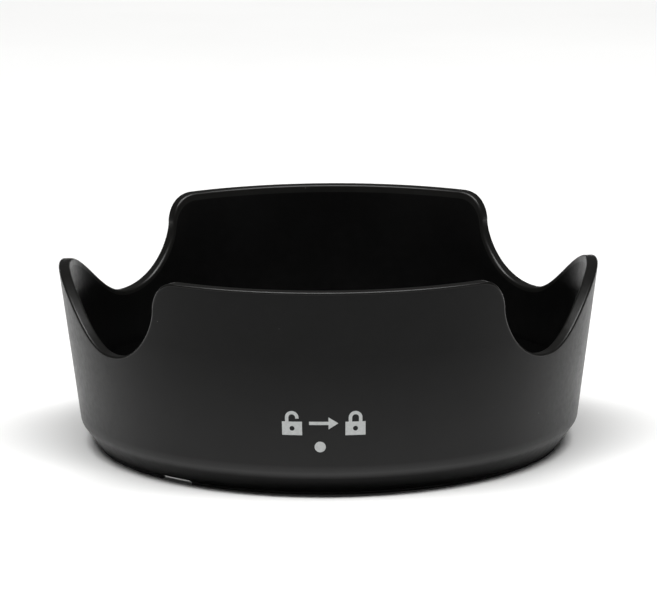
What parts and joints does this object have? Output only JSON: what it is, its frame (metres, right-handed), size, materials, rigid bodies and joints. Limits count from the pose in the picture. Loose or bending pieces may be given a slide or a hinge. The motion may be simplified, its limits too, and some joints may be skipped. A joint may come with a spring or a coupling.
{
  "type": "lens hood",
  "caption": "Petal-shaped lens hood with four lobes, a conical wall and a bayonet foot with lugs, stops and springy click arms.",
  "frame": {"origin": "centre of the foot's contact ring, on the optical axis, at the base plane", "axes": "+Z along the optical axis towards the petals, -Y towards the wide petal that carries the lock marks, +X to the right seen from that side"},
  "size_m": [0.0756, 0.0766, 0.0291],
  "materials": {
    "shell_plastic": "fine satin moulded black plastic, matte inside",
    "bayonet_plastic": "matte moulded black plastic",
    "print_ink": "pad-printed light grey ink"
  },
  "bodies": {
    "hood": {"petal_shell": "shell_plastic", "mount_ring": "bayonet_plastic", "lens_stop_ledge": "bayonet_plastic", "bayonet_lug_1": "bayonet_plastic", "bayonet_lug_2": "bayonet_plastic", "bayonet_lug_3": "bayonet_plastic", "turn_stop_1": "bayonet_plastic", "turn_stop_2": "bayonet_plastic", "turn_stop_3": "bayonet_plastic", "index_dot": "print_ink", "unlocked_mark": "print_ink", "turn_arrow_mark": "print_ink", "locked_mark": "print_ink"},
    "click_arm_1_body": {"click_arm_1": "bayonet_plastic"},
    "click_arm_2_body": {"click_arm_2": "bayonet_plastic"},
    "click_arm_3_body": {"click_arm_3": "bayonet_plastic"}
  },
  "joints": [
    {"name": "click_arm_1_flex", "type": "hinge", "parent": "hood", "child": "click_arm_1_body", "pos_m": [0.01446, -0.02838, 0.0053], "axis": [0, 0, -1], "range_deg": [0, 2.4], "stiffness_Nm_per_rad": 0.2},
    {"name": "click_arm_2_flex", "type": "hinge", "parent": "hood", "child": "click_arm_2_body", "pos_m": [0.01735, 0.02671, 0.0053], "axis": [0, 0, -1], "range_deg": [0, 2.4], "stiffness_Nm_per_rad": 0.2},
    {"name": "click_arm_3_flex", "type": "hinge", "parent": "hood", "child": "click_arm_3_body", "pos_m": [-0.03181, 0.00167, 0.0053], "axis": [0, 0, -1], "range_deg": [0, 2.4], "stiffness_Nm_per_rad": 0.2}
  ]
}
